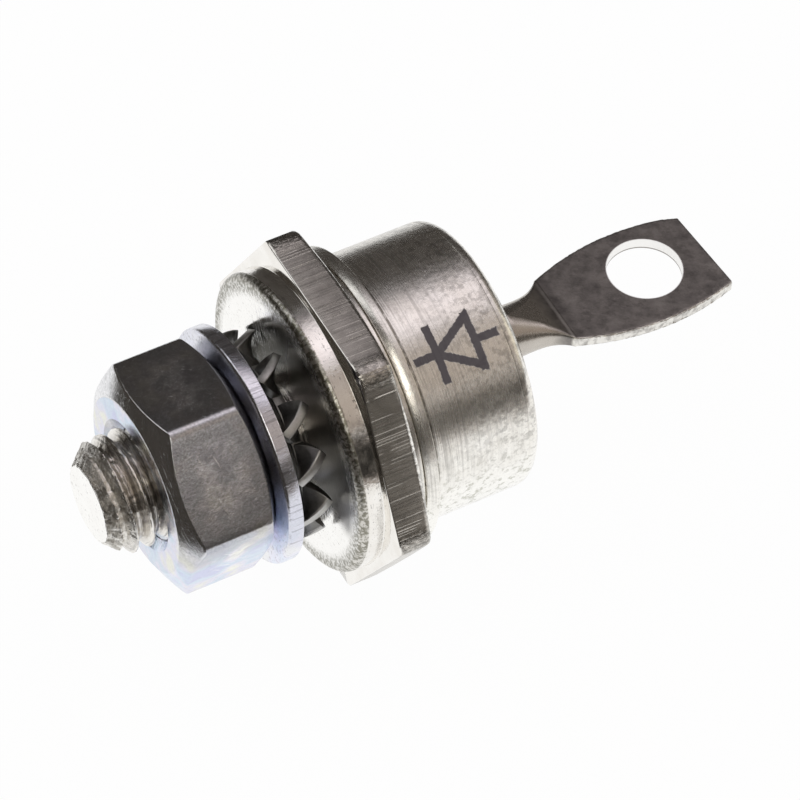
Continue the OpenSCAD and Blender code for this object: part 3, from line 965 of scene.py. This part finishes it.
def nickel_can_finish():
    f = Finish("nickel_can")
    lines = f.lines((9, 0.2, 0.2), 4.0, 0.7)
    grains = f.noise(4.5, 4.0, 0.65)
    cloud = f.noise(0.7, 4.0)
    mottle = f.noise(2.6, 5.0, 0.65)
    spots = f.noise(2.6, 5.0, 0.68).smooth(0.53, 0.62)
    below = 1 - f.z.smooth(-1.5, 2.0)
    skimmed = (1 - f.x.smooth(6.2, 9.0)) * (1 - below)
    # darker band on the can wall beside the flange
    root = f.x.between(FLANGE_TOP + 0.02, FLANGE_TOP + 0.38, 0.03) * (1 - f.radius.smooth(7.4, 7.5))
    ink = mark_ink(f)
    tone = f.coats(
        f.clouded(cloud, (0.86, 0.83, 0.77), (0.98, 0.96, 0.91)),
        ((0.08 + 0.18 * skimmed - 0.06 * below) * lines.smooth(0.46, 0.62), BLACK),
        # painted reflection: the underside's colour is brightened towards white where it mirrors the table
        (below * 0.8, (1.0, 0.99, 0.95)),
        ((0.3 - 0.2 * skimmed - 0.22 * below) * mottle.smooth(0.47, 0.6), BLACK),
        ((0.12 - 0.09 * below) * grains.smooth(0.5, 0.64), BLACK),
        (spots * below * 0.6, (0.4, 0.4, 0.31)),
        (root * (0.35 + 0.5 * mottle.smooth(0.4, 0.55)), (0.16, 0.145, 0.12)),
        (ink * 0.94, (0.035, 0.026, 0.038)),
    )
    rough = 0.2 + 0.14 * lines - 0.08 * below + 0.3 * ink
    height = lines * (0.001 + 0.0025 * skimmed) + grains * 0.008 + mottle * 0.014 * (1 - 0.7 * skimmed)
    return f.close(tone, rough, height, Metallic=1 - ink)


can_nickel = nickel_can_finish()
wear(can, can_nickel)
wear(weld_ring, can_nickel)

# %% [markdown]
# ## Zinc on the nut and the flat washer
# Bright zinc is passivated, which leaves a thin film in lilac, blue and cream on the end faces and
# below. The middle of the upper flats is worn and scratched, the bevel is pale, the end face shows
# the lathe's rings and the washer's rim the marks of the punch. The film could be traced as
# interference, but a ramp of tints is enough.

# %% Zinc
BARE_ZINC, PALE_ZINC = (0.88, 0.87, 0.88), (0.97, 0.97, 0.98)
FILM_TINTS = [
    (0.34, (0.64, 0.67, 0.9)), (0.46, (0.7, 0.81, 0.93)),
    (0.55, (0.82, 0.81, 0.94)), (0.66, (0.92, 0.92, 0.82)),
]


def zinc_finish(name, rim_marks):
    f = Finish(name)
    grains = f.noise(8.0, 4.0, 0.65)
    mottle = f.noise(2.2, 5.0, 0.65)
    cloud = f.noise(0.55)
    patches = f.noise(1.0, 4.0, 0.62).smooth(0.36, 0.64)
    first = f.lines((9, 0.7, 0.7), 2.0, 0.55, (0.4, 0.5, 0.7)).smooth(0.62, 0.7)
    second = f.lines((0.7, 8, 8), 2.0, 0.55, (0.9, 0.2, 0.5)).smooth(0.62, 0.7)
    ends = f.x.between(NUT_START - 1, NUT_START + 0.014, 0.004)
    filmed = (1 - f.z.smooth(-2.0, 2.5)).most(ends)
    worn = (1 - f.radius.smooth(5.6, 6.05)) * f.x.between(NUT_START + 1.7, NUT_END - 1.5, 1.0)
    cone = NUT_FACE_R + (f.x - NUT_START) / NUT_BEVEL
    bevel = (f.radius - cone).smooth(-0.12, -0.04) * (1 - filmed)
    film = f.ramp(f.noise(0.5, 2.0), FILM_TINTS)
    tone = f.mix(0.2 + 0.8 * filmed, (*BARE_ZINC, 1.0), film)
    bright = (0.58 + 0.22 * cloud + 0.5 * worn * patches).least(1.0).most(filmed * 0.96)
    tone = f.coats(
        f.shade(tone, bright * (1 - 0.08 * ends)),
        ((first + second) * worn * 0.8, (0.98, 0.97, 0.98)),
        (bevel * 0.7, PALE_ZINC),
        ((0.22 - 0.16 * filmed) * (grains * 0.7 + mottle * 0.3).smooth(0.42, 0.62), BLACK),
    )
    rough = 0.07 + 0.13 * grains + 0.12 * mottle
    height = grains * 0.005 + mottle * 0.006 + (first + second) * 0.0025
    if rim_marks:
        marks = f.lines((0.25, 5, 5))
        tone = f.coats(tone, (0.55, (0.87, 0.88, 0.99)), (0.3 * marks.smooth(0.56, 0.64), BLACK))
        height = height + marks * 0.006
    else:
        rings = f.noise(8.0, 3.0, 0.65, f.vector(f.radius))
        height = height * (1 - ends) + ends * (rings * 0.006 + mottle * 0.003)
    return f.close(tone, rough, height)


wear(nut, zinc_finish("zinc_nut", rim_marks=False))
wear(washer, zinc_finish("zinc_washer", rim_marks=True))

# %% [markdown]
# ## The terminal's finish
# The terminal is dull and mottled, brighter where it was sheared: inside the hole and along its
# torn sides. The stem is paler, a highlight is painted along the crease, and a painted shadow
# darkens the band just past it. A Pointiness node could find the edges, but it needs a dense
# mesh, so the distances to hole and side are worked out.

# %% Terminal finish
def terminal_finish():
    f = Finish("dull_terminal")
    cloud = f.noise(1.1, 5.0, 0.6)
    grains = f.noise(6.0, 4.0, 0.65)
    flakes = f.noise(2.4, 5.0, 0.6)
    spots = f.noise(1.3, 5.0, 0.68).smooth(0.42, 0.66)
    strokes = f.lines((1.6, 3.84, 3.84), 4.0, 0.65, (0, 0, 0.7)).smooth(0.46, 0.66)
    from_hole = ((f.x - HOLE_X) ** 2 + (f.y - HOLE_Y) ** 2) ** 0.5
    hole = 1 - from_hole.smooth(HOLE_R + 0.01, HOLE_R + 0.05)
    burr = hole * (1 - f.z.smooth(TUBE_RISE - 0.3, TUBE_RISE - 0.24))
    stem = 1 - f.x.smooth(BLADE_ROOT - 1.17, BLADE_ROOT - 0.17)
    shadow = f.x.between(BLADE_ROOT, BLADE_ROOT + 0.5, 0.15)
    # painted highlight along the crease
    crease = f.x.between(BLADE_ROOT - 0.12, BLADE_ROOT + 0.02, 0.09) * (1 - f.y.smooth(-1.5, 3.0))
    bow = (BOW_R ** 2 - (f.x - WIDEST) ** 2) ** 0.5
    side = (abs(f.y) - bow + (BOW_R - BLADE_W / 2)).smooth(-0.1, -0.04) * (1 - stem)
    torn = side * (1 - 0.6 * flakes.smooth(0.42, 0.66))
    tone = f.coats(
        f.clouded(cloud, (0.22, 0.205, 0.195), (0.36, 0.335, 0.315)),
        (0.28 * spots + 0.16 * strokes, BLACK),
        (0.25 * shadow, BLACK),
        (stem * 0.6, (0.75, 0.7, 0.63)),
        (crease * 0.45, (0.85, 0.82, 0.78)),
        (torn * 0.9, (0.93, 0.91, 0.86)),
        (hole, (0.95, 0.94, 0.92)),
        (burr, (0.3, 0.28, 0.26)),
    )
    rough = 0.28 + 0.18 * grains - 0.1 * stem
    return f.close(tone, rough, grains * 0.006 + side * flakes * 0.03)


wear(terminal, terminal_finish())

# %% [markdown]
# ## Spring steel and glass
# The toothed washer is dark grey steel, paler on the cut ends of its teeth, and the sealing glass
# is dark green. Clear glass could be traced through, but this glass is so dark that a glossy
# surface looks the same.

# %% Spring steel and glass
def spring_finish():
    f = Finish("spring_steel")
    grains = f.noise(7.0, 3.0, 0.6)
    cut_end = f.radius.smooth(LOCK_R - 0.16, LOCK_R - 0.08)
    tone = f.clouded(f.noise(1.2, 4.0), (0.18, 0.177, 0.168), (0.29, 0.286, 0.272))
    tone = f.coats(tone, (cut_end, (0.54, 0.535, 0.52)))
    return f.close(f.shade(tone, 0.75 + 0.5 * grains), 0.3 + 0.2 * grains, grains * 0.006)


def glass_finish():
    f = Finish("seal_glass")
    cloud = f.noise(1.5)
    tone = f.clouded(cloud, (0.03, 0.07, 0.05), (0.07, 0.13, 0.1))
    return f.close(tone, 0.08 + 0.1 * cloud, Metallic=0.0, IOR=1.52)


wear(toothed, spring_finish())
wear(seal, glass_finish())

# %% [markdown]
# ## Inside the can
# The die stack is hidden, but a section would show it, so each inner solid gets a finish too. They
# could be left grey, but one function with two tones for each material is little more work.

# %% Inner finishes
SOLDER = ((0.4, 0.41, 0.42), (0.55, 0.56, 0.57))
MOLYBDENUM = ((0.36, 0.37, 0.39), (0.5, 0.51, 0.53))
INNER = {
    "base_solder": SOLDER, "lower_disc": MOLYBDENUM, "lower_die_solder": SOLDER,
    "silicon_die": ((0.1, 0.11, 0.14), (0.18, 0.19, 0.23)),
    "die_coating": ((0.3, 0.07, 0.05), (0.42, 0.13, 0.09)),
    "upper_die_solder": SOLDER, "upper_disc": MOLYBDENUM, "lead_solder": SOLDER,
    "inner_lead": ((0.5, 0.26, 0.16), (0.7, 0.4, 0.26)),
}


def inner_finish(name, dark, light):
    f = Finish(name)
    grains = f.noise(8.0, 3.0, 0.6)
    tone = f.clouded(f.noise(1.2, 4.0), dark, light)
    return f.close(tone, 0.25 + 0.15 * grains, grains * 0.004)


for node, tones in INNER.items():
    wear(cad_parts[node], inner_finish("inner_" + node, *tones))

# %% [markdown]
# ## Table and world
# The photograph was taken on a white table, and only a faint shadow is left under the diode. A lit
# white sheet would turn grey towards its edges, so table and world are plain white to the camera
# and to reflections, and matt or dimmer to the other rays.

# %% Table and world
FLOOR_Z = -HEX_ACROSS / 2 * MM
TABLE_HALF, TABLE_GLOW = 1.5, 0.97
PLAIN_WHITE, FULL_WHITE = (0.9, 0.9, 0.9, 1.0), (1.0, 1.0, 1.0, 1.0)


def two_ways(owner, plain_kind, white_kind, share, output):
    """Shader that is white to rays of the camera, of reflections and through glass, and plain to others."""
    graph = Graph(empty_tree(owner))
    path = graph.node("ShaderNodeLightPath").socket.node
    kinds = ("Is Camera Ray", "Is Glossy Ray", "Is Transmission Ray")
    camera, glossy, through = (Sock(graph, path.outputs[kind]) for kind in kinds)
    seen = camera.most(glossy).most(through) * share
    plain_face = graph.node(plain_kind, {"Color": PLAIN_WHITE})
    white_face = graph.node(white_kind, {"Color": FULL_WHITE})
    both = graph.node("ShaderNodeMixShader", {0: seen, 1: plain_face, 2: white_face})
    graph.node(output, {"Surface": both})


corners = [(x * TABLE_HALF, y * TABLE_HALF, FLOOR_Z) for x, y in ((-1, -1), (1, -1), (1, 1), (-1, 1))]
table = bpy.data.meshes.new("white_table")
table.from_pydata(corners, [], [(0, 1, 2, 3)])
table.materials.append(bpy.data.materials.new("white_table"))
table_kinds = ("ShaderNodeBsdfDiffuse", "ShaderNodeEmission")
two_ways(table.materials[0], *table_kinds, TABLE_GLOW, "ShaderNodeOutputMaterial")
new_object("white_table", table)

bpy.context.scene.world = bpy.data.worlds.new("studio")
world_kinds = ("ShaderNodeBackground", "ShaderNodeBackground")
two_ways(bpy.context.scene.world, *world_kinds, 1.0, "ShaderNodeOutputWorld")
bpy.context.scene.view_settings.view_transform = "Standard"
print("table at z", round(FLOOR_Z / MM, 2), "mm, world:", bpy.context.scene.world.name)

# %% [markdown]
# ## Cards that light the metal
# Polished metal shows the room more than itself. Area lights would give it bright spots only, so
# the room is a set of glowing cards that the camera doesn't see: lines of points, swept along one
# direction, whose glow may change with the angle round the X axis. Most are there for reflections
# and light nothing else.

# %% Card helpers
TUNNEL_R = 350


def round_line(first, last):
    """Points (y, z) that follow the tunnel round the X axis from one angle to another."""
    angles = np.radians(np.linspace(first, last, 21))
    return [(TUNNEL_R * math.cos(a), TUNNEL_R * math.sin(a)) for a in angles]


def at_x(x, line):
    return [(x, y, z) for y, z in line]


def wall(x, first_y, last_y, low, high):
    """Line and sweep of an upright card at x."""
    return at_x(x, [(first_y, low), (last_y, low)]), (0, 0, high - low)


def plain(*colour):
    """Stops of one colour all round."""
    return [(0, colour), (180, colour)]


def glow_material(name, stops):
    """Light with stops of (angle round the X axis in degrees, colour)."""
    material = bpy.data.materials.new(name)
    graph = Graph(empty_tree(material))
    first, last = stops[0][0], stops[-1][0]
    _, y, z = graph.parts(graph.node("ShaderNodeTexCoord", out=3))
    share = (z.arctan2(y) - math.radians(first)) / math.radians(last - first)
    places = [((angle - first) / (last - first), colour) for angle, colour in stops]
    inputs = {"Color": graph.ramp(share, places), "Strength": 1.0}
    glow = graph.node("ShaderNodeEmission", inputs)
    graph.node("ShaderNodeOutputMaterial", {"Surface": glow})
    return material


def card(name, line, sweep, stops, lights):
    """Card between a line of points in mm and the same line moved by a sweep."""
    count = len(line)
    corners = np.concatenate([line, np.add(line, sweep)]) * MM
    faces = [(k, k + 1, count + k + 1, count + k) for k in range(count - 1)]
    mesh = bpy.data.meshes.new(name)
    mesh.from_pydata(corners.tolist(), [], faces)
    mesh.materials.append(glow_material(name, stops))
    obj = new_object(name, mesh)
    obj.visible_camera = False
    obj.visible_diffuse = lights
    obj.visible_shadow = lights


print("radius of the tunnel of cards:", TUNNEL_R, "mm")

# %% [markdown]
# ## The room of the photograph
# A softbox stands above and a warm wall behind the camera. The room is dark beyond the table, whose
# edge lies close to the nut. A lamp near the camera makes the small highlights, and a cream wall
# faces the terminal. The levels could be guessed, but the can is a mirror that looks all round, so
# they follow its bright and dark bands.

# %% Cards
FLOOR_MM = FLOOR_Z / MM
LEFT_X, RIGHT_X = -60, 400
ALONG = (RIGHT_X - LEFT_X, 0, 0)
FLASH = (-169, -37, 84, 216)
SOFT_LEVELS = (
    (50, 0.07), (55.5, 0.17), (58, 0.32), (64, 0.62), (70, 0.88), (80, 1.1), (86, 1.07), (95, 0.72),
    (99, 0.58),
)
soft = [(angle, (level, 0.925 * level, 0.955 * level)) for angle, level in SOFT_LEVELS]
warm = [(100, (0.44, 0.39, 0.37)), (124, (0.46, 0.4, 0.355)), (148, (0.4, 0.345, 0.305))]
dusk = [(150, (0.36, 0.31, 0.275)), (158, (0.1, 0.092, 0.082))]
night = plain(0.05, 0.044, 0.038)
far_line = [(44, FLOOR_MM), (60, 0), (120, 62)] + round_line(40, 49.5)
near_line = [(-88, FLOOR_MM), (-100, 6), (-160, 60)] + round_line(160, 150)
table_edge = [(-17, -88), (-17, -1), (-30, 4), (-30, 14), (-20, 22), (-20, 60)]
edge_line = [(x, y, FLOOR_MM) for x, y in table_edge]

CARDS = {
    "far_dark_card": (at_x(LEFT_X, far_line), (660, 0, 0), plain(0.062, 0.056, 0.051), False),
    "softbox": (at_x(LEFT_X, round_line(50, 99)), ALONG, soft, True),
    "warm_card": (at_x(LEFT_X, round_line(100, 148)), ALONG, warm, True),
    "near_dark_card": (at_x(LEFT_X, near_line), ALONG, dusk, False),
    "low_left_card": (edge_line, (0, 0, 20 - FLOOR_MM), night, False),
    "left_dark_card": (*wall(LEFT_X, -300, 60, FLOOR_MM, 345), night, False),
    "flash_card": (*wall(LEFT_X + 0.1, *FLASH), plain(2.4, 2.3, 2.1), False),
    "right_grey_card": (*wall(RIGHT_X, 0, 260, 10, 350), plain(0.2, 0.18, 0.16), False),
    "right_cream_card": (*wall(RIGHT_X, -310, 0, 10, 350), plain(0.85, 0.78, 0.66), False),
}
for name, (line, sweep, stops, lights) in CARDS.items():
    card(name, line, sweep, stops, lights)
print("cards:", ", ".join(CARDS))

# %% [markdown]
# ## Sizes
# The dressed diode has to stay inside the box of its solids.
